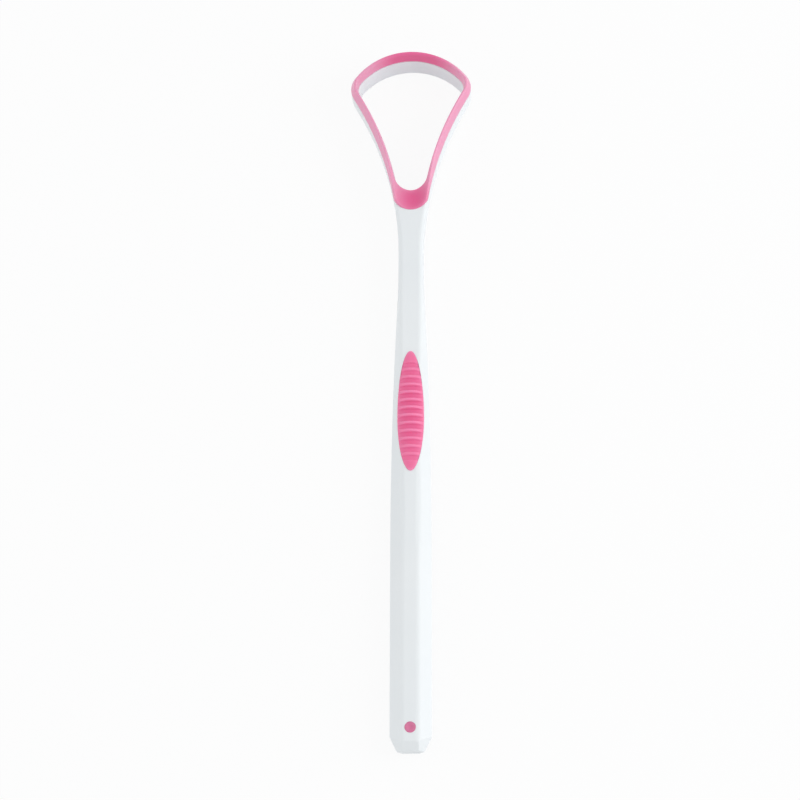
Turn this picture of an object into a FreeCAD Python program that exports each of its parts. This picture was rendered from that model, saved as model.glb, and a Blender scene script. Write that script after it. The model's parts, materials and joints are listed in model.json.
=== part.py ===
import FreeCAD, Part
import math
import os

# A tongue scraper in two materials: a rigid faceted handle that opens into a fan-shaped loop, a soft blade round
# the front of the loop, a soft ribbed thumb grip and a soft plug at the butt. It lies on its flat back. X runs
# across, Y along the handle towards the loop, Z from the back to the front. Lengths are in millimetres, and a
# station is a distance from the butt along the handle.

# Whole object
OVERALL_LENGTH = 175.0
BODY_THICKNESS = 6.0
OVERRUN = 1.0
SAME_PLACE = 0.000001
ALONG = FreeCAD.Vector(0, 1, 0)

# Faceted handle
HANDLE_WIDTH = 9.6
FACET_WIDTH = 3.9
LAND_HEIGHT = 1.2
TAPER_LENGTH = 74.0
TURN_TO_WAIST = 14.2
WAIST_WIDTH = 6.0
BUTT_WIDTH = 6.3
BUTT_CHAMFER_LENGTH = 3.5
BUTT_BEVEL_LENGTH = 2.0
BUTT_BEVEL_DROP = 1.5
BUTT_ROUND = 0.4
TRIM_GROWTH_SHARE = 3.0
FACET_ROUND = 2.2
NECK_ROUND = 1.2

# Loop
LOOP_WIDTH = 29.5
LOOP_LENGTH = 37.0
LOOP_SHOULDER_DROP = 9.9
LOOP_CORNER_RADIUS = 4.8
NECK_LENGTH = 16.2
WALL = 1.85
TOP_WALL = 2.3
WALL_DRAFT = 0.35
ARM_TAPER_SHARE = 4.3
RIM_ROUND = 0.7
SEAT_HEIGHT = 5.2

# Soft blade on the loop
LIP_RISE = 2.2
CREST_INSET = 1.1
CREST_WIDTH = 0.5
ROOT_LENGTH = 5.4
ROOT_RISE = 2.6
ROOT_INSET_SHARE = 0.4
DISH_RADIUS = 6.5
DISH_SINK = 0.3
TONGUE_WIDTH = 0.8
TONGUE_DEPTH = 0.8

# Thumb grip
GRIP_TO_WAIST = 42.1
GRIP_WIDTH = 6.3
GRIP_UPPER_LENGTH = 16.3
GRIP_LOWER_LENGTH = 13.5
GRIP_POCKET_DEPTH = 1.6
GRIP_CROWN = 1.0
GRIP_END_CROWN = 0.2
GRIP_CROWN_RADIUS = 3.8
RIB_COUNT = 12
RIB_PITCH = 1.92
RIB_WIDTH = 0.45
RIB_FLOOR_SHARE = 0.12
RIB_FLOOR_RADIUS = 6.0
RIB_FLANK = 0.25
RIB_OFFSET = 1.15
STUD_DIAMETER = 2.0
STUD_DEPTH = 1.6
STUD_SPACING = 14.0

# Butt plug
PLUG_STATION = 5.2
PLUG_DIAMETER = 2.6
PLUG_FOOT_DIAMETER = 3.6
PLUG_FOOT_HEIGHT = 3.0

# Worked out from the sizes above
LIP_TOP = BODY_THICKNESS + LIP_RISE
LAND_BOTTOM = (BODY_THICKNESS - LAND_HEIGHT) / 2
LAND_TOP = (BODY_THICKNESS + LAND_HEIGHT) / 2
LOOP_BOTTOM_STATION = OVERALL_LENGTH - LOOP_LENGTH
ROOT_STATION = LOOP_BOTTOM_STATION - ROOT_LENGTH
WAIST_STATION = LOOP_BOTTOM_STATION - NECK_LENGTH
TURN_STATION = WAIST_STATION - TURN_TO_WAIST
TAPER_STATION = WAIST_STATION - TAPER_LENGTH
GRIP_STATION = WAIST_STATION - GRIP_TO_WAIST
CORNER_X = LOOP_WIDTH / 2 - LOOP_CORNER_RADIUS
CORNER_STATION = OVERALL_LENGTH - LOOP_SHOULDER_DROP
# The flare is the one arc that leaves the waist along the handle and meets the corner of the loop smoothly
FLARE_REACH = CORNER_X - WAIST_WIDTH / 2
FLARE_RISE = CORNER_STATION - WAIST_STATION
FLARE_RADIUS = ((FLARE_REACH ** 2 + FLARE_RISE ** 2 - LOOP_CORNER_RADIUS ** 2)
                / (2 * (LOOP_CORNER_RADIUS + FLARE_REACH)))
FLARE_X = WAIST_WIDTH / 2 + FLARE_RADIUS
# The round root of the blade ends at both sides of the neck
ROOT_SIDE = FLARE_X - math.sqrt(FLARE_RADIUS ** 2 - (ROOT_STATION + ROOT_RISE - WAIST_STATION) ** 2)
ROOT_RADIUS = (ROOT_SIDE ** 2 + ROOT_RISE ** 2) / (2 * ROOT_RISE)


def at(x, station, z):
    """A point in the part's frame, from its place across, its station and its height."""
    return FreeCAD.Vector(x, station - OVERALL_LENGTH / 2, z)


def arc(centre, start, end):
    """The shorter arc about a centre from start to end."""
    middle = (start - centre) + (end - centre)
    middle.normalize()
    return Part.Arc(start, centre + middle * (start - centre).Length, end).toShape()


def line(start, end):
    return Part.LineSegment(start, end).toShape()


def mirrored(half):
    """A closed ring of edges from the edges of its right half, which runs from the axis round to the axis."""
    across = FreeCAD.Vector(1, 0, 0)
    return half + [edge.mirror(FreeCAD.Vector(), across) for edge in reversed(half)]


def wall(below, above):
    """The wall between two matching edges: swept or flat where it can be, and ruled elsewhere."""
    low = [vertex.Point for vertex in below.Vertexes]
    high = [vertex.Point for vertex in above.Vertexes]
    rises = [end - start for start, end in zip(low, high)]
    if (rises[0] - rises[1]).Length < SAME_PLACE:
        return below.extrude(rises[0])
    if below.Curve.TypeId == above.Curve.TypeId == "Part::GeomLine":
        return Part.Face(Part.makePolygon([low[0], low[1], high[1], high[0], low[0]]))
    return Part.makeRuledSurface(below, above)


def skin(levels):
    """A solid with walls between rings of matching edges, one ring for each level."""
    faces = [Part.Face(Part.Wire(Part.__sortEdges__(ring))) for ring in (levels[0], levels[-1])]
    for lower, upper in zip(levels, levels[1:]):
        faces += [wall(below, above) for below, above in zip(lower, upper)]
    shell = Part.makeShell(faces)
    shell.sewShape()
    closed = Part.makeSolid(shell)
    return Part.makeSolid(closed.Shells[0])


def corner_centre(z):
    return at(CORNER_X, CORNER_STATION, z)


def flare_centre(z):
    return at(FLARE_X, WAIST_STATION, z)


def arm_centre(inset, z):
    """The centre of an arm's arc, which moves with the inset so that an arm narrows from the corner to the root."""
    towards = corner_centre(z) - flare_centre(z)
    towards.normalize()
    return flare_centre(z) + towards * inset * ARM_TAPER_SHARE


def arm_radius(inset):
    return FLARE_RADIUS + inset - inset * ARM_TAPER_SHARE


def arm_end(inset, z):
    """Where an arm, moved into the loop by an inset, meets the corner arc."""
    towards = corner_centre(z) - arm_centre(inset, z)
    towards.normalize()
    return arm_centre(inset, z) + towards * arm_radius(inset)


def loop_head(inset, z):
    """The corner arc and the right half of the top arc, moved into the loop by an inset."""
    top = OVERALL_LENGTH - inset * TOP_WALL / WALL
    corner_radius = LOOP_CORNER_RADIUS - inset
    drop = CORNER_STATION - top
    top_radius = (corner_radius ** 2 - CORNER_X ** 2 - drop ** 2) / (2 * (drop + corner_radius))
    top_centre = at(0, top - top_radius, z)
    towards = corner_centre(z) - top_centre
    towards.normalize()
    shoulder = top_centre + towards * top_radius
    return [arc(corner_centre(z), arm_end(inset, z), shoulder),
            arc(top_centre, shoulder, at(0, top, z))]


def root_corner(inset, z):
    """Where the round root of the blade meets an arm, both moved in by an inset, of which the root takes a share."""
    root_centre = at(0, ROOT_STATION + ROOT_RADIUS, z)
    apart = root_centre - arm_centre(inset, z)
    arm = arm_radius(inset)
    root = ROOT_RADIUS - inset * ROOT_INSET_SHARE
    along = (arm ** 2 - root ** 2 + apart.Length ** 2) / (2 * apart.Length)
    aside = math.sqrt(arm ** 2 - along ** 2)
    apart.normalize()
    return arm_centre(inset, z) + apart * along + FreeCAD.Vector(apart.y, -apart.x, 0) * -aside


def blade_ring(inset, z):
    """The blade's outer outline: a round root across the neck, then the flare, corner and top of the loop."""
    side = root_corner(inset, z)
    root_centre = at(0, ROOT_STATION + ROOT_RADIUS, z)
    return mirrored([arc(root_centre, at(0, ROOT_STATION + inset * ROOT_INSET_SHARE, z), side),
                     arc(arm_centre(inset, z), side, arm_end(inset, z))] + loop_head(inset, z))


def opening_ring(inset, z):
    """The opening's outline: a round bottom that meets both arms smoothly, then the arms and the top."""
    bottom = at(0, LOOP_BOTTOM_STATION - WALL + inset, z)
    arm = arm_radius(inset)
    reach = bottom - arm_centre(inset, z)
    radius = (reach.Length ** 2 - arm ** 2) / (2 * (arm - reach.y))
    bottom_centre = bottom + ALONG * radius
    towards = bottom_centre - arm_centre(inset, z)
    towards.normalize()
    side = arm_centre(inset, z) + towards * arm
    return mirrored([arc(bottom_centre, bottom, side),
                     arc(arm_centre(inset, z), side, arm_end(inset, z))] + loop_head(inset, z))


def tangent_arc(start, end):
    """An arc that leaves start along the handle and ends at end."""
    reach = end - start
    radius = (reach.x ** 2 + reach.y ** 2) / (2 * reach.x)
    return arc(start + FreeCAD.Vector(radius, 0, 0), start, end)


def outline_ring(half_width, z):
    """The handle and loop seen from the front, with a given half width along the straight of the handle."""
    butt = at(half_width, 0, z)
    taper = at(half_width, TAPER_STATION, z)
    waist = at(WAIST_WIDTH / 2, WAIST_STATION, z)
    turn = taper + (waist - taper) * ((TURN_STATION - TAPER_STATION) / (WAIST_STATION - TAPER_STATION))
    side = root_corner(0, z)
    return mirrored([line(at(0, 0, z), butt), line(butt, taper), tangent_arc(taper, turn), tangent_arc(waist, turn),
                     arc(flare_centre(z), waist, side), arc(flare_centre(z), side, arm_end(0, z))]
                    + loop_head(0, z))


def opening(low_inset, low, high_inset, high):
    """The opening as a solid, with an inset that runs evenly from one height to another, and past both."""
    slope = (high_inset - low_inset) / (high - low)
    heights = (low - OVERRUN, high + OVERRUN)
    return skin([opening_ring(low_inset + slope * (height - low), height) for height in heights])


def edge_rounds(edge):
    """The rounding at both ends of an outline's edge: soft along the handle, tighter at the neck and the loop."""
    neck = at(0, (TAPER_STATION + TURN_STATION) / 2, 0).y
    loop = at(0, (WAIST_STATION + ROOT_STATION) / 2, 0).y
    places = [vertex.Point.y for vertex in edge.Vertexes]
    return [FACET_ROUND if place < neck else NECK_ROUND if place < loop else RIM_ROUND for place in places]


def on_long_outline(edge):
    """Whether an edge lies in the front or back outline, and not across the butt."""
    heights = {round(vertex.Point.z / BODY_THICKNESS, 3) for vertex in edge.Vertexes}
    return heights in ({0}, {1}) and max(vertex.Point.y for vertex in edge.Vertexes) > at(0, PLUG_STATION, 0).y


def wedge(start, end, outside, sweep):
    """A three-sided prism that trims along the line from start to end, with its third corner outside."""
    past = end - start
    past.normalize()
    corners = [start - past * OVERRUN, end + past * OVERRUN, outside]
    return Part.Face(Part.makePolygon(corners + corners[:1])).extrude(sweep)


def beyond(corners):
    """A block of all that lies beyond the plane of three corners, seen from the middle of the handle."""
    middle = (corners[0] + corners[1] + corners[2]) / 3
    outward = (corners[1] - corners[0]).cross(corners[2] - corners[0])
    outward.normalize()
    if outward.dot(middle - at(0, PLUG_STATION, BODY_THICKNESS / 2)) < 0:
        outward = -outward
    grown = [middle + (corner - middle) * TRIM_GROWTH_SHARE for corner in corners]
    return Part.Face(Part.makePolygon(grown + grown[:1])).extrude(outward * HANDLE_WIDTH)


def butt_trims():
    """What the chamfered corners of the butt, their facets and the bevels along its front and back leave out."""
    trims = []
    for side in (-1, 1):
        flank = side * HANDLE_WIDTH / 2
        trims += [beyond([at(side * FACET_WIDTH / 2, BUTT_BEVEL_LENGTH, face), at(flank, BUTT_CHAMFER_LENGTH, land),
                          at(side * BUTT_WIDTH / 2, 0, BODY_THICKNESS / 2)])
                  for face, land in ((BODY_THICKNESS, LAND_TOP), (0, LAND_BOTTOM))]
        trims.append(wedge(at(side * BUTT_WIDTH / 2, 0, -OVERRUN), at(flank, BUTT_CHAMFER_LENGTH, -OVERRUN),
                           at(flank + side * OVERRUN, -OVERRUN, -OVERRUN),
                           FreeCAD.Vector(0, 0, BODY_THICKNESS + 2 * OVERRUN)))
    for face, outward in ((BODY_THICKNESS, 1), (0, -1)):
        flank = -HANDLE_WIDTH / 2
        trims.append(wedge(at(flank, 0, face - outward * BUTT_BEVEL_DROP), at(flank, BUTT_BEVEL_LENGTH, face),
                           at(flank, -OVERRUN, face + outward * OVERRUN), FreeCAD.Vector(HANDLE_WIDTH, 0, 0)))
    return trims


def blank():
    """The rigid moulding before its seats and pockets are cut, with its outlines rounded and its butt trimmed."""
    document = FreeCAD.newDocument("moulding")
    sharp = document.addObject("Part::Feature", "sharp")
    sharp.Shape = skin([outline_ring(FACET_WIDTH / 2, 0), outline_ring(HANDLE_WIDTH / 2, LAND_BOTTOM),
                        outline_ring(HANDLE_WIDTH / 2, LAND_TOP), outline_ring(FACET_WIDTH / 2, BODY_THICKNESS)])
    soft = document.addObject("Part::Fillet", "soft")
    soft.Base = sharp
    soft.Edges = [(index, *edge_rounds(edge)) for index, edge in enumerate(sharp.Shape.Edges, 1)
                  if on_long_outline(edge)]
    document.recompute()
    body = soft.Shape.copy()
    FreeCAD.closeDocument(document.Name)
    for trim in butt_trims():
        body = body.cut(trim)
    body = body.removeSplitter().Solids[0]
    butt_end = at(0, (BUTT_CHAMFER_LENGTH + PLUG_STATION) / 2, 0).y
    return body.makeFillet(BUTT_ROUND, [edge for edge in body.Edges if edge.BoundBox.YMax < butt_end])


def blade_tongue():
    """The rib under the blade that locks it in the loop, with a wide foot under the root."""
    outer = (WALL - TONGUE_WIDTH) / 2
    inner = (WALL + TONGUE_WIDTH) / 2
    low = SEAT_HEIGHT - TONGUE_DEPTH
    foot = skin([blade_ring(outer, low), blade_ring(outer, SEAT_HEIGHT)])
    return foot.cut(opening(inner, low, inner, SEAT_HEIGHT))


def grip_prism(low, high):
    """A prism of the thumb grip's egg-shaped outline, two half ellipses that share their width."""
    middle = at(0, GRIP_STATION, low)
    flank = at(GRIP_WIDTH / 2, GRIP_STATION, low)
    edges = []
    for reach in (GRIP_UPPER_LENGTH, -GRIP_LOWER_LENGTH):
        tip = at(0, GRIP_STATION + reach, low)
        half = Part.Ellipse(tip, flank, middle).toShape()
        box = Part.makeBox(HANDLE_WIDTH, abs(reach) + OVERRUN, OVERRUN,
                           at(-HANDLE_WIDTH / 2, GRIP_STATION + min(reach - OVERRUN, 0), low - OVERRUN / 2))
        edges += half.common(box).Edges
    outline = Part.Wire(Part.__sortEdges__(edges))
    return Part.Face(outline).extrude(FreeCAD.Vector(0, 0, high - low))


def grip_studs():
    """The two studs under the grip that lock it in the handle."""
    floor = BODY_THICKNESS - GRIP_POCKET_DEPTH
    middle = GRIP_STATION + (GRIP_UPPER_LENGTH - GRIP_LOWER_LENGTH) / 2
    ends = [at(0, middle + side * STUD_SPACING / 2, floor - STUD_DEPTH) for side in (-1, 1)]
    return [Part.makeCylinder(STUD_DIAMETER / 2, STUD_DEPTH, end) for end in ends]


def plug_bore():
    """The stepped bore for the plug, wider at the back so that the plug can't be pushed out to the front."""
    foot = Part.makeCylinder(PLUG_FOOT_DIAMETER / 2, PLUG_FOOT_HEIGHT, at(0, PLUG_STATION, 0))
    stem = Part.makeCylinder(PLUG_DIAMETER / 2, BODY_THICKNESS, at(0, PLUG_STATION, 0))
    return foot.fuse(stem).removeSplitter()


def handle_frame():
    """The rigid moulding: faceted handle, neck and loop, with seats for the soft pieces."""
    frame = blank().cut(opening(WALL + WALL_DRAFT, 0, WALL, SEAT_HEIGHT))
    frame = frame.cut(skin([blade_ring(0, SEAT_HEIGHT), blade_ring(0, BODY_THICKNESS + OVERRUN)]))
    frame = frame.cut(blade_tongue())
    frame = frame.cut(grip_prism(BODY_THICKNESS - GRIP_POCKET_DEPTH, BODY_THICKNESS + OVERRUN))
    for stud in grip_studs():
        frame = frame.cut(stud)
    return frame.cut(plug_bore())


def scraper_lip():
    """The soft blade: a roof-shaped ridge round the loop that runs out in a dish at the root."""
    half_crest = CREST_WIDTH / 2
    ridge = skin([blade_ring(0, SEAT_HEIGHT), blade_ring(0, BODY_THICKNESS),
                  blade_ring(CREST_INSET - half_crest, LIP_TOP)])
    ridge = ridge.cut(opening(WALL, SEAT_HEIGHT, CREST_INSET + half_crest, LIP_TOP))
    run = OVERALL_LENGTH - ROOT_STATION
    fall = DISH_SINK / (LOOP_BOTTOM_STATION - ROOT_STATION)
    along = FreeCAD.Vector(0, 1, -fall)
    start = at(0, ROOT_STATION, BODY_THICKNESS + DISH_RADIUS) - along * ROOT_RADIUS
    dish = Part.makeCylinder(DISH_RADIUS, run, start, along)
    return ridge.cut(dish).fuse(blade_tongue()).removeSplitter()


def thumb_grip():
    """The soft pad: crowned both ways, with flatter grooves that leave ribs across it and run out at its sides."""
    floor = BODY_THICKNESS - GRIP_POCKET_DEPTH
    crown = BODY_THICKNESS + GRIP_CROWN
    axis = crown - GRIP_CROWN_RADIUS
    end_drop = GRIP_CROWN - GRIP_END_CROWN
    half_length = (GRIP_UPPER_LENGTH + GRIP_LOWER_LENGTH) / 2
    middle = GRIP_STATION + (GRIP_UPPER_LENGTH - GRIP_LOWER_LENGTH) / 2
    arch_radius = (half_length ** 2 + end_drop ** 2) / (2 * end_drop)

    def ridge_height(station):
        return crown - arch_radius + math.sqrt(arch_radius ** 2 - (station - middle) ** 2)

    def turned(corners, centre):
        return Part.Face(Part.makePolygon(corners + corners[:1])).revolve(at(0, middle, centre), ALONG, 360)

    grooves = [GRIP_STATION + RIB_OFFSET + (index - RIB_COUNT / 2) * RIB_PITCH for index in range(RIB_COUNT + 1)]
    stations = [middle - half_length] + grooves + [middle + half_length]
    pad = grip_prism(floor, crown + OVERRUN).common(
        turned([at(0, stations[-1], axis), at(0, stations[0], axis)]
               + [at(0, station, ridge_height(station)) for station in stations], axis))
    floor_half = (RIB_PITCH - RIB_WIDTH) / 2 - RIB_FLANK
    for station in grooves:
        rise = ridge_height(station) - BODY_THICKNESS
        low = BODY_THICKNESS + rise * RIB_FLOOR_SHARE
        high = BODY_THICKNESS + rise + OVERRUN
        mouth_half = floor_half + RIB_FLANK * (high - low) / (high - low - OVERRUN)
        groove = turned([at(0, station - floor_half, low), at(0, station + floor_half, low),
                         at(0, station + mouth_half, high), at(0, station - mouth_half, high)],
                        low - RIB_FLOOR_RADIUS)
        pad = pad.cut(groove)
    for stud in grip_studs():
        pad = pad.fuse(stud)
    return pad.removeSplitter()


def butt_plug():
    """The soft plug that fills its bore and ends flush with the front and back facets."""
    return plug_bore().common(blank())


def build():
    """Writes each piece to its own file."""
    os.makedirs("parts", exist_ok=True)
    pieces = {"handle_frame": handle_frame(), "scraper_lip": scraper_lip(), "thumb_grip": thumb_grip(),
              "butt_plug": butt_plug()}
    for name, shape in pieces.items():
        print(name, shape.ShapeType, len(shape.Solids), shape.isValid(), round(shape.Volume, 2), shape.BoundBox)
        shape.exportStep(f"parts/{name}.step")


build()
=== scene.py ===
"""Dresses the tongue scraper: a white moulding with a soft pink blade, grip and plug, on a studio floor."""
from __future__ import annotations

import json
import logging
import math
from dataclasses import dataclass
from enum import Enum
from typing import Any

import bmesh
import bpy
from mathutils import Matrix, Vector

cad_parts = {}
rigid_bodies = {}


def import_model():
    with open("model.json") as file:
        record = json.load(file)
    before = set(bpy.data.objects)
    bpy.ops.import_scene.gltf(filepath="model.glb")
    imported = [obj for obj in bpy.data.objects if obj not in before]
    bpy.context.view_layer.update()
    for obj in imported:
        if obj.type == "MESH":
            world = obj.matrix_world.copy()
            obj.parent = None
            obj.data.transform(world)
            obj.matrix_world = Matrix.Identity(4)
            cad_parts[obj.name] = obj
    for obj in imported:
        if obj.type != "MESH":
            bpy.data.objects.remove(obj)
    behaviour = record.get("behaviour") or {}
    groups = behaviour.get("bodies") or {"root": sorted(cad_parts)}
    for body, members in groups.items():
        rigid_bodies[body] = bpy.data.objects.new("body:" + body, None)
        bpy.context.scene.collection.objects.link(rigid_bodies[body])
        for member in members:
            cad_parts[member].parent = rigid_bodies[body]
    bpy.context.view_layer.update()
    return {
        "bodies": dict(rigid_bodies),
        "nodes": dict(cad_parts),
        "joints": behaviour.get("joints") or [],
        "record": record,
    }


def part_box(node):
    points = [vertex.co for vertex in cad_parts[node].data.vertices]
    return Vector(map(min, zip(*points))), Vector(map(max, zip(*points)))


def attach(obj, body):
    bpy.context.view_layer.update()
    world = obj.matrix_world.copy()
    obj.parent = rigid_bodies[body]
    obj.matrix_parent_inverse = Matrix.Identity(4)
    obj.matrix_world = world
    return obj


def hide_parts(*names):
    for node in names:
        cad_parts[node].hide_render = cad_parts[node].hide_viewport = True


LOG = logging.getLogger("tongue_scraper")
MM = 0.001
IMAGE_SIZE = 800
SENSOR_MM = 36.0
BODY = "root"
MERGE_MM = 0.0005

# The sRGB curve: a straight toe, then a power
CHANNEL_TOP = 255
SRGB_TOE_END = 0.04045
SRGB_TOE_SLOPE = 12.92
SRGB_OFFSET = 0.055
SRGB_POWER = 2.4


class Slot(Enum):
    """The record's two material slots."""

    WHITE = "white_polypropylene"
    PINK = "pink_elastomer"


class Side(Enum):
    """Where a lamp stands, as its azimuth in degrees from the object's right."""

    RIGHT = 0.0
    LEFT = 180.0


def linear(hex_colour: str) -> tuple[float, float, float, float]:
    """Turns an sRGB hex colour to linear light.

    Args:
        hex_colour: The colour as six hex digits after a hash sign.

    Returns:
        Linear red, green and blue, and an alpha of one.
    """
    parts = [int(hex_colour[start:start + 2], 16) / CHANNEL_TOP for start in (1, 3, 5)]
    lit = [part / SRGB_TOE_SLOPE if part <= SRGB_TOE_END
           else ((part + SRGB_OFFSET) / (1 + SRGB_OFFSET)) ** SRGB_POWER for part in parts]
    return lit[0], lit[1], lit[2], 1.0


def per_size(size_mm: float) -> float:
    """Gives a pattern's scale from the size of its features in millimetres."""
    return 1 / (size_mm * MM)


def add_node(tree: bpy.types.NodeTree, kind: str, settings: dict[str | int, Any] | None = None,
             links: dict[str | int, bpy.types.NodeSocket] | None = None) -> bpy.types.Node:
    """Adds a node with its settings and the links into it.

    Args:
        tree: The node tree to add to.
        kind: The node's type name, without its ShaderNode prefix.
        settings: Values by the name or place of an input, or by property name where there is no such input.
        links: Sockets of other nodes by the name or place of the input that they feed.

    Returns:
        The new node.
    """
    node = tree.nodes.new("ShaderNode" + kind)
    for name, value in (settings or {}).items():
        if isinstance(name, int) or name in node.inputs:
            node.inputs[name].default_value = value
        else:
            setattr(node, name, value)
    for name, socket in (links or {}).items():
        tree.links.new(socket, node.inputs[name])
    return node


def blank_material(name: str) -> tuple[bpy.types.Material, bpy.types.NodeTree]:
    """Makes a material with an empty node tree.

    Args:
        name: The material's name.

    Returns:
        The material and its node tree.
    """
    material = bpy.data.materials.new(name)
    material.use_nodes = True
    material.node_tree.nodes.clear()
    return material, material.node_tree


@dataclass(frozen=True)
class MouldedPolypropylene:
    """White polypropylene, injection moulded in a lightly blasted steel tool.

    It looks satin and a little waxy: light sinks in a short way, so edges are soft, and the blasted tool
    leaves a grain that breaks up the highlights. A fine witness line runs where the two halves of the tool
    meet.
    """

    colour: str = "#eef2f4"
    cloud_colour: str = "#e9eef1"
    cloud_mm: float = 14.0
    cloud_detail: float = 1.0
    grain_mm: float = 0.3
    grain_detail: float = 2.0
    grain_depth_mm: float = 0.004
    parting_height_mm: float = 3.0
    parting_width_mm: float = 0.12
    parting_depth_mm: float = 0.03
    smooth_roughness: float = 0.36
    rough_roughness: float = 0.5
    ior: float = 1.49
    glow_share: float = 0.2
    glow_spread: tuple[float, float, float] = (1.0, 1.0, 1.0)
    glow_depth_mm: float = 0.5

    def material(self) -> bpy.types.Material:
        """Builds the finish.

        Returns:
            The finish as a material.
        """
        material, tree = blank_material("moulded_polypropylene")
        place = add_node(tree, "TexCoord").outputs["Object"]
        cloud = add_node(tree, "TexNoise", {"Scale": per_size(self.cloud_mm), "Detail": self.cloud_detail},
                         {"Vector": place})
        colour = add_node(tree, "ValToRGB", links={"Fac": cloud.outputs["Fac"]})
        colour.color_ramp.elements[0].color = linear(self.cloud_colour)
        colour.color_ramp.elements[1].color = linear(self.colour)
        # The blasted grain is about a twentieth of a millimetre, drawn coarser so that it shows
        grain = add_node(tree, "TexNoise", {"Scale": per_size(self.grain_mm), "Detail": self.grain_detail},
                         {"Vector": place})
        roughness = add_node(tree, "MapRange",
                             {"To Min": self.smooth_roughness, "To Max": self.rough_roughness},
                             {"Value": grain.outputs["Fac"]})
        height = add_node(tree, "SeparateXYZ", links={"Vector": place}).outputs["Z"]
        off_line = add_node(tree, "Math", {"operation": "SUBTRACT", 1: self.parting_height_mm * MM},
                            {0: height})
        away = add_node(tree, "Math", {"operation": "ABSOLUTE"}, {0: off_line.outputs["Value"]})
        line = add_node(tree, "MapRange",
                        {"From Max": self.parting_width_mm / 2 * MM, "To Min": 1.0, "To Max": 0.0},
                        {"Value": away.outputs["Value"]})
        witness = add_node(tree, "Bump", {"Strength": 1.0, "Distance": self.parting_depth_mm * MM},
                           {"Height": line.outputs["Result"]})
        blasted = add_node(tree, "Bump", {"Strength": 1.0, "Distance": self.grain_depth_mm * MM},
                           {"Height": grain.outputs["Fac"], "Normal": witness.outputs["Normal"]})
        shader = add_node(tree, "BsdfPrincipled",
                          {"IOR": self.ior, "Subsurface Weight": self.glow_share,
                           "Subsurface Radius": self.glow_spread,
                           "Subsurface Scale": self.glow_depth_mm * MM},
                          {"Base Color": colour.outputs["Color"], "Roughness": roughness.outputs["Result"],
                           "Normal": blasted.outputs["Normal"]})
        add_node(tree, "OutputMaterial", links={"Surface": shader.outputs["BSDF"]})
        return material


@dataclass(frozen=True)
class PlainPlace:
    """A place left out of the painted light: its plain colour lasts to a near distance, and the painted
    paleness has taken over by a far one.
    """

    centre_mm: tuple[float, float, float]
    near_mm: float
    far_mm: float


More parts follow.
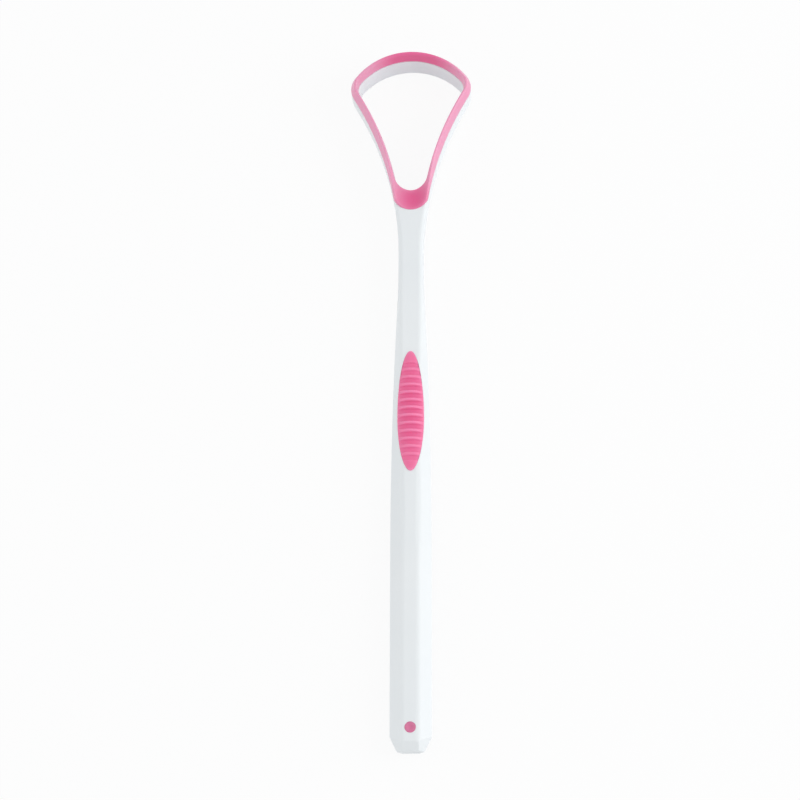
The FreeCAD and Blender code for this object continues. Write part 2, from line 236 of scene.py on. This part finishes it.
@dataclass(frozen=True)
class SoftElastomer:
    """Pink thermoplastic elastomer, moulded over the white part.

    It looks matt and soft to the touch: a fine grain, a pale sheen where the surface turns away, and a little
    light that goes through the thin edges. Thin ribs and edges are also painted paler as a highlight, hollows
    are painted darker as shade, and narrow parts away from the plain places are painted paler as light.
    """

    name: str
    colour: str = "#f576a5"
    cloud_colour: str = "#f071a1"
    hollow_shade_colour: str = "#e9619b"
    painted_highlight_colour: str = "#ff93c0"
    painted_paleness_colour: str = "#eccee4"
    painted_paleness_share: float = 0.0
    plain_places: tuple[PlainPlace, ...] = ()
    shade_samples: int = 16
    hollow_shade_mm: float = 1.2
    hollow_shade_from: float = 0.55
    hollow_shade_to: float = 0.95
    painted_highlight_mm: float = 0.9
    painted_highlight_from: float = 0.95
    painted_highlight_to: float = 0.35
    painted_highlight_share: float = 1.0
    cloud_mm: float = 6.0
    cloud_detail: float = 2.0
    grain_mm: float = 0.22
    grain_detail: float = 2.0
    grain_depth_mm: float = 0.008
    smooth_roughness: float = 0.35
    rough_roughness: float = 0.5
    ior: float = 1.5
    sheen: float = 0.35
    sheen_roughness: float = 0.35
    sheen_colour: str = "#fff6fa"
    glow_share: float = 0.15
    glow_spread: tuple[float, float, float] = (1.0, 0.35, 0.5)
    glow_depth_mm: float = 0.35

    def material(self) -> bpy.types.Material:
        """Builds the finish.

        Returns:
            The finish as a material.
        """
        material, tree = blank_material(self.name)
        place = add_node(tree, "TexCoord").outputs["Object"]
        cloud = add_node(tree, "TexNoise", {"Scale": per_size(self.cloud_mm), "Detail": self.cloud_detail},
                         {"Vector": place})
        colour = add_node(tree, "ValToRGB", links={"Fac": cloud.outputs["Fac"]})
        colour.color_ramp.elements[0].color = linear(self.cloud_colour)
        colour.color_ramp.elements[1].color = linear(self.colour)
        # Painted shade: hollows, found by ambient occlusion, are painted a darker pink, and open crests keep
        # the plain colour
        open_sky = add_node(tree, "AmbientOcclusion",
                            {"Distance": self.hollow_shade_mm * MM, "samples": self.shade_samples})
        unshaded = add_node(tree, "MapRange", {"From Min": self.hollow_shade_from, "From Max": self.hollow_shade_to},
                         {"Value": open_sky.outputs["AO"]})
        hollow_shaded = add_node(tree, "MixRGB", {"Color1": linear(self.hollow_shade_colour)},
                        {"Fac": unshaded.outputs["Result"], "Color2": colour.outputs["Color"]})
        # Painted highlight: thin ribs and edges, found by ambient occlusion inside, are painted paler,
        # standing for light through them and on their crests
        depth = add_node(tree, "AmbientOcclusion",
                         {"Distance": self.painted_highlight_mm * MM, "samples": self.shade_samples, "inside": True})
        highlight_mask = add_node(tree, "MapRange", {"From Min": self.painted_highlight_from, "From Max": self.painted_highlight_to,
                                           "To Max": self.painted_highlight_share}, {"Value": depth.outputs["AO"]})
        painted_light = add_node(tree, "MixRGB", {"Color2": linear(self.painted_highlight_colour)},
                        {"Fac": highlight_mask.outputs["Result"], "Color1": hollow_shaded.outputs["Color"]})
        # Painted light: away from the plain places the piece is painted paler, as if light reached it from
        # both sides
        if self.plain_places:
            painted_light = self.paint_light_through(tree, place, painted_light)
        # The soft skin's grain is finer than a tenth of a millimetre, drawn coarser so that it shows
        grain = add_node(tree, "TexNoise", {"Scale": per_size(self.grain_mm), "Detail": self.grain_detail},
                         {"Vector": place})
        roughness = add_node(tree, "MapRange",
                             {"To Min": self.smooth_roughness, "To Max": self.rough_roughness},
                             {"Value": grain.outputs["Fac"]})
        grained = add_node(tree, "Bump", {"Strength": 1.0, "Distance": self.grain_depth_mm * MM},
                           {"Height": grain.outputs["Fac"]})
        shader = add_node(tree, "BsdfPrincipled",
                          {"IOR": self.ior, "Subsurface Weight": self.glow_share,
                           "Subsurface Radius": self.glow_spread,
                           "Subsurface Scale": self.glow_depth_mm * MM, "Sheen Weight": self.sheen,
                           "Sheen Roughness": self.sheen_roughness, "Sheen Tint": linear(self.sheen_colour)},
                          {"Base Color": painted_light.outputs["Color"], "Roughness": roughness.outputs["Result"],
                           "Normal": grained.outputs["Normal"]})
        add_node(tree, "OutputMaterial", links={"Surface": shader.outputs["BSDF"]})
        return material

    def paint_light_through(self, tree: bpy.types.NodeTree, place: bpy.types.NodeSocket,
                      body: bpy.types.Node) -> bpy.types.Node:
        """Paints light on the piece: pales it away from the places that keep the plain colour.

        Args:
            tree: The finish's node tree.
            place: The socket with the place on the piece.
            body: The node with the colour before the painted light.

        Returns:
            The node with the colour all over.
        """
        cover = None
        for plain in self.plain_places:
            centre = [length * MM for length in plain.centre_mm]
            away = add_node(tree, "VectorMath", {"operation": "DISTANCE", 1: centre}, {0: place})
            links = {"Value": away.outputs["Value"]}
            if cover:
                links["To Max"] = cover.outputs["Result"]
            cover = add_node(tree, "MapRange",
                             {"interpolation_type": "SMOOTHSTEP", "From Min": plain.near_mm * MM,
                              "From Max": plain.far_mm * MM, "To Max": self.painted_paleness_share}, links)
        return add_node(tree, "MixRGB", {"Color2": linear(self.painted_paleness_colour)},
                        {"Fac": cover.outputs["Result"], "Color1": body.outputs["Color"]})


@dataclass(frozen=True)
class StudioPaper:
    """Seamless white paper, matt and even. Seen directly it is lifted to white and keeps a faint shadow."""

    colour: str = "#f4f5f6"
    lifted_colour: str = "#ffffff"
    lifted_share: float = 0.88

    def material(self) -> bpy.types.Material:
        """Builds the paper.

        Returns:
            The paper as a material.
        """
        material, tree = blank_material("studio_paper")
        path = add_node(tree, "LightPath")
        direct = add_node(tree, "Math", {"operation": "MAXIMUM"},
                          {0: path.outputs["Is Camera Ray"], 1: path.outputs["Is Glossy Ray"]})
        seen = add_node(tree, "Math", {"operation": "MAXIMUM"},
                        {0: direct.outputs["Value"], 1: path.outputs["Is Transmission Ray"]})
        share = add_node(tree, "Math", {"operation": "MULTIPLY", 1: self.lifted_share},
                         {0: seen.outputs["Value"]})
        paper = add_node(tree, "BsdfDiffuse", {"Color": linear(self.colour)})
        white = add_node(tree, "Emission", {"Color": linear(self.lifted_colour), "Strength": 1.0})
        both = add_node(tree, "MixShader", links={0: share.outputs["Value"], 1: paper.outputs["BSDF"],
                                                  2: white.outputs["Emission"]})
        add_node(tree, "OutputMaterial", links={"Surface": both.outputs["Shader"]})
        return material


def make_active(piece: bpy.types.Object) -> None:
    """Selects one object alone and makes it the active one.

    Args:
        piece: The object to work on next.
    """
    bpy.ops.object.select_all(action="DESELECT")
    piece.select_set(True)
    bpy.context.view_layer.objects.active = piece


def apply_modifiers(piece: bpy.types.Object) -> None:
    """Applies all of a piece's modifiers in order.

    Args:
        piece: The object with the modifiers.
    """
    make_active(piece)
    for name in [modifier.name for modifier in piece.modifiers]:
        bpy.ops.object.modifier_apply(modifier=name)


@dataclass(kw_only=True)
class SoftPiece:
    """What the soft pieces share: each stands for its solid on the body and has one finish."""

    name: str
    node: str
    slot: Slot = Slot.PINK

    def seat(self, piece: bpy.types.Object) -> None:
        """Puts a finished piece on the body, in place of its solid.

        Args:
            piece: The finished piece.
        """
        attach(piece, BODY)
        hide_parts(self.node)

    def dress(self, piece: bpy.types.Object, finish: bpy.types.Material) -> None:
        """Gives the piece its one finish."""
        piece.data.materials.clear()
        piece.data.materials.append(finish)


@dataclass(kw_only=True)
class SoftMoulding(SoftPiece):
    """A soft piece cast in the room of its solid, with every edge eased as a soft moulding's edges are."""

    round_mm: float
    round_segments: int = 3
    crease_deg: float = 30.0
    voxel_mm: float
    ease_steps: int
    ease_factor: float = 0.5

    def build(self, frame: dict[str, Any]) -> bpy.types.Object:
        """Casts the piece.

        Args:
            frame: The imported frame, with the solids by node name.

        Returns:
            The finished piece, riding on the body and standing for its node.
        """
        piece = bpy.data.objects.new(self.name, frame["nodes"][self.node].data.copy())
        bpy.context.scene.collection.objects.link(piece)
        make_active(piece)
        bpy.ops.object.mode_set(mode="EDIT")
        bpy.ops.mesh.select_all(action="SELECT")
        bpy.ops.mesh.remove_doubles(threshold=MERGE_MM * MM)
        bpy.ops.mesh.normals_make_consistent(inside=False)
        bpy.ops.object.mode_set(mode="OBJECT")
        # Edges are rounded before the skin is cast, because voxels would leave notches in a sharp crest
        rounded = piece.modifiers.new("rounded_edges", "BEVEL")
        rounded.width = self.round_mm * MM
        rounded.segments = self.round_segments
        rounded.limit_method = "ANGLE"
        rounded.angle_limit = math.radians(self.crease_deg)
        rounded.use_clamp_overlap = False
        skin = piece.modifiers.new("moulded_skin", "REMESH")
        skin.mode = "VOXEL"
        skin.voxel_size = self.voxel_mm * MM
        ease = piece.modifiers.new("eased_edges", "SMOOTH")
        ease.factor = self.ease_factor
        ease.iterations = self.ease_steps
        apply_modifiers(piece)
        bpy.ops.object.shade_smooth()
        self.seat(piece)
        return piece


@dataclass(kw_only=True)
class ButtPlug(SoftPiece):
    """The soft plug through the butt: a wide foot at the back and a stem with a shallow dish at the front."""

    sides: int = 96
    foot_radius_mm: float = 1.8
    foot_height_mm: float = 3.0
    stem_radius_mm: float = 1.3
    rim_mm: float = 0.32
    dish_depth_mm: float = 0.22
    dish_rings: int = 8
    ease_mm: float = 0.12
    ease_steps: int = 4
    crease_deg: float = 35.0

    def select(self, piece: bpy.types.Object, centre: Vector, radius: float, faces: bool) -> None:
        """Selects a level ring of edges, or the round face inside it.

        Args:
            piece: The plug, in edit mode.
            centre: The centre of the ring in metres.
            radius: The radius of the ring in metres.
            faces: Whether to select the face and not the edges.
        """
        bpy.ops.mesh.select_all(action="DESELECT")
        mesh = bmesh.from_edit_mesh(piece.data)
        slack = MERGE_MM * MM
        for item in mesh.faces if faces else mesh.edges:
            reaches = [vert.co - centre for vert in item.verts]
            if all(abs(reach.z) < slack and abs(reach.length - radius) < slack for reach in reaches):
                item.select_set(True)
        bmesh.update_edit_mesh(piece.data)

    def build(self) -> bpy.types.Object:
        """Models the plug.

        Returns:
            The finished piece, riding on the body and standing for its node.
        """
        low, high = (Vector(corner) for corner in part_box(self.node))
        middle = (low + high) / 2
        back, step, front = (Vector((middle.x, middle.y, height))
                             for height in (low.z, low.z + self.foot_height_mm * MM, high.z))
        foot, stem, rim = self.foot_radius_mm * MM, self.stem_radius_mm * MM, self.rim_mm * MM
        bpy.ops.object.select_all(action="DESELECT")
        bpy.ops.mesh.primitive_cylinder_add(vertices=self.sides, radius=foot, depth=step.z - back.z,
                                            location=(back + step) / 2)
        piece = bpy.context.object
        piece.name = self.name
        bpy.ops.object.transform_apply(location=True, rotation=True, scale=True)
        bpy.ops.object.mode_set(mode="EDIT")
        self.select(piece, step, foot, True)
        bpy.ops.mesh.inset(thickness=foot - stem)
        bpy.ops.mesh.extrude_region_move(TRANSFORM_OT_translate={"value": tuple(front - step)})
        bpy.ops.mesh.inset(thickness=rim)
        # Equal rings that sink along half a cosine wave make the dish
        depths = [self.dish_depth_mm * MM * (1 - math.cos(math.pi * ring / self.dish_rings)) / 2
                  for ring in range(self.dish_rings + 1)]
        for above, below in zip(depths, depths[1:]):
            bpy.ops.mesh.inset(thickness=(stem - rim) / (self.dish_rings + 1), depth=above - below)
        for centre, radius in ((back, foot), (step, foot), (front, stem)):
            self.select(piece, centre, radius, False)
            bpy.ops.mesh.bevel(offset=self.ease_mm * MM, segments=self.ease_steps, affect="EDGES")
        bpy.ops.object.mode_set(mode="OBJECT")
        bpy.ops.object.shade_smooth_by_angle(angle=math.radians(self.crease_deg))
        self.seat(piece)
        return piece


@dataclass(kw_only=True)
class RigidMoulding:
    """The white handle, neck and loop, whose solid already has the real shape."""

    node: str
    slot: Slot = Slot.WHITE

    def dress(self, frame: dict[str, Any], finish: bpy.types.Material) -> bpy.types.Object:
        """Gives the solid its finish.

        Args:
            frame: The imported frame, with the solids by node name.
            finish: The finish of the whole moulding.

        Returns:
            The dressed solid.
        """
        piece = frame["nodes"][self.node]
        piece.data.materials.clear()
        piece.data.materials.append(finish)
        return piece


@dataclass
class PhotoCamera:
    """The camera, which looks down at the front from the butt's side and a little from the right."""

    aim_mm: tuple[float, float, float] = (-2.64, -2.7, 3.0)
    pitch_deg: float = 19.5
    yaw_deg: float = 3.0
    roll_deg: float = 0.15
    distance_mm: float = 640.0
    pixels_per_mm: float = 4.215

    def build(self) -> None:
        """Adds the camera and makes it the scene's own."""
        pitch, yaw = math.radians(self.pitch_deg), math.radians(self.yaw_deg)
        back = Vector((math.cos(pitch) * math.sin(yaw), -math.sin(pitch), math.cos(pitch) * math.cos(yaw)))
        right = Vector((math.cos(yaw), 0, -math.sin(yaw)))
        turn = Matrix((right, back.cross(right), back)).transposed().to_4x4()
        data = bpy.data.cameras.new("photo_camera")
        data.sensor_width = SENSOR_MM
        data.lens = self.pixels_per_mm * self.distance_mm * SENSOR_MM / IMAGE_SIZE
        camera = bpy.data.objects.new("photo_camera", data)
        bpy.context.scene.collection.objects.link(camera)
        place = Matrix.Translation((Vector(self.aim_mm) + back * self.distance_mm) * MM)
        camera.matrix_world = place @ turn @ Matrix.Rotation(math.radians(self.roll_deg), 4, "Z")
        bpy.context.scene.camera = camera


@dataclass
class SoftBox:
    """One large studio lamp."""

    name: str
    side: Side
    elevation_deg: float
    power: float
    distance_mm: float = 700.0
    size_mm: float = 500.0

    def build(self) -> None:
        """Adds the lamp, aimed at the middle of the object."""
        azimuth, elevation = math.radians(self.side.value), math.radians(self.elevation_deg)
        towards = Vector((math.cos(elevation) * math.cos(azimuth), math.cos(elevation) * math.sin(azimuth),
                          math.sin(elevation)))
        data = bpy.data.lights.new(self.name, "AREA")
        data.shape = "DISK"
        data.size = self.size_mm * MM
        data.energy = self.power
        lamp = bpy.data.objects.new(self.name, data)
        bpy.context.scene.collection.objects.link(lamp)
        lamp.location = towards * self.distance_mm * MM
        lamp.rotation_euler = towards.to_track_quat("Z", "Y").to_euler()


@dataclass
class Studio:
    """The pale floor, the soft light round the object and the lamps."""

    lamps: tuple[SoftBox, ...]
    floor_mm: float = 4000.0
    sky_colour: str = "#ffffff"
    sky_strength: float = 0.775

    def build(self) -> None:
        """Adds the floor, the world and the lamps."""
        bpy.ops.object.select_all(action="DESELECT")
        bpy.ops.mesh.primitive_plane_add(size=self.floor_mm * MM)
        floor = bpy.context.object
        floor.name = "studio_floor"
        floor.data.materials.append(StudioPaper().material())
        world = bpy.data.worlds.new("studio")
        world.use_nodes = True
        sky = world.node_tree.nodes["Background"]
        sky.inputs["Color"].default_value = linear(self.sky_colour)
        sky.inputs["Strength"].default_value = self.sky_strength
        bpy.context.scene.world = world
        for lamp in self.lamps:
            lamp.build()


def report(piece: bpy.types.Object, slot: Slot) -> None:
    """Logs a piece that is built and dressed."""
    LOG.info("%s in %s, with %d faces", piece.name, slot.value, len(piece.data.polygons))


def main() -> None:
    """Builds and dresses the object, then the studio and the camera."""
    logging.basicConfig(level=logging.INFO, format="%(message)s")
    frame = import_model()

    handle = RigidMoulding(node="handle_frame")
    report(handle.dress(frame, MouldedPolypropylene().material()), handle.slot)

    # Painted light: the narrow arms are painted paler, while the top of the loop and the root keep the deep
    # colour
    blade_pink = SoftElastomer("blade_elastomer", colour="#ea6297", cloud_colour="#e65e94", painted_highlight_share=0.3,
                               sheen=0.1, smooth_roughness=0.28, rough_roughness=0.4, painted_paleness_share=0.42,
                               plain_places=(PlainPlace(centre_mm=(1.2, 86.5, 6.0), near_mm=4.5, far_mm=13.0),
                                            PlainPlace(centre_mm=(0.9, 47.9, 6.0), near_mm=0.5, far_mm=7.0)))
    blade = SoftMoulding(name="soft_scraper_lip", node="scraper_lip", round_mm=0.18, voxel_mm=0.13,
                         ease_steps=5)
    grip_pink = SoftElastomer("grip_elastomer")
    grip = SoftMoulding(name="soft_thumb_grip", node="thumb_grip", round_mm=0.08, voxel_mm=0.08,
                        ease_steps=2)
    for soft, finish in ((blade, blade_pink), (grip, grip_pink)):
        piece = soft.build(frame)
        soft.dress(piece, finish.material())
        report(piece, soft.slot)

    # The plug's pink is painted darker than the grip's, standing for shade in its recessed dish
    plug_pink = SoftElastomer("plug_elastomer", colour="#da7aa1", cloud_colour="#d6769e", painted_highlight_share=0.0,
                              sheen=0.1)
    plug = ButtPlug(name="soft_butt_plug", node="butt_plug")
    piece = plug.build()
    plug.dress(piece, plug_pink.material())
    report(piece, plug.slot)

    Studio(lamps=(SoftBox("key_softbox", Side.RIGHT, elevation_deg=25.0, power=1.68),
                  SoftBox("fill_softbox", Side.LEFT, elevation_deg=22.0, power=0.52))).build()
    PhotoCamera().build()
    bpy.context.scene.view_settings.view_transform = "Standard"


if __name__ == "__main__":
    main()
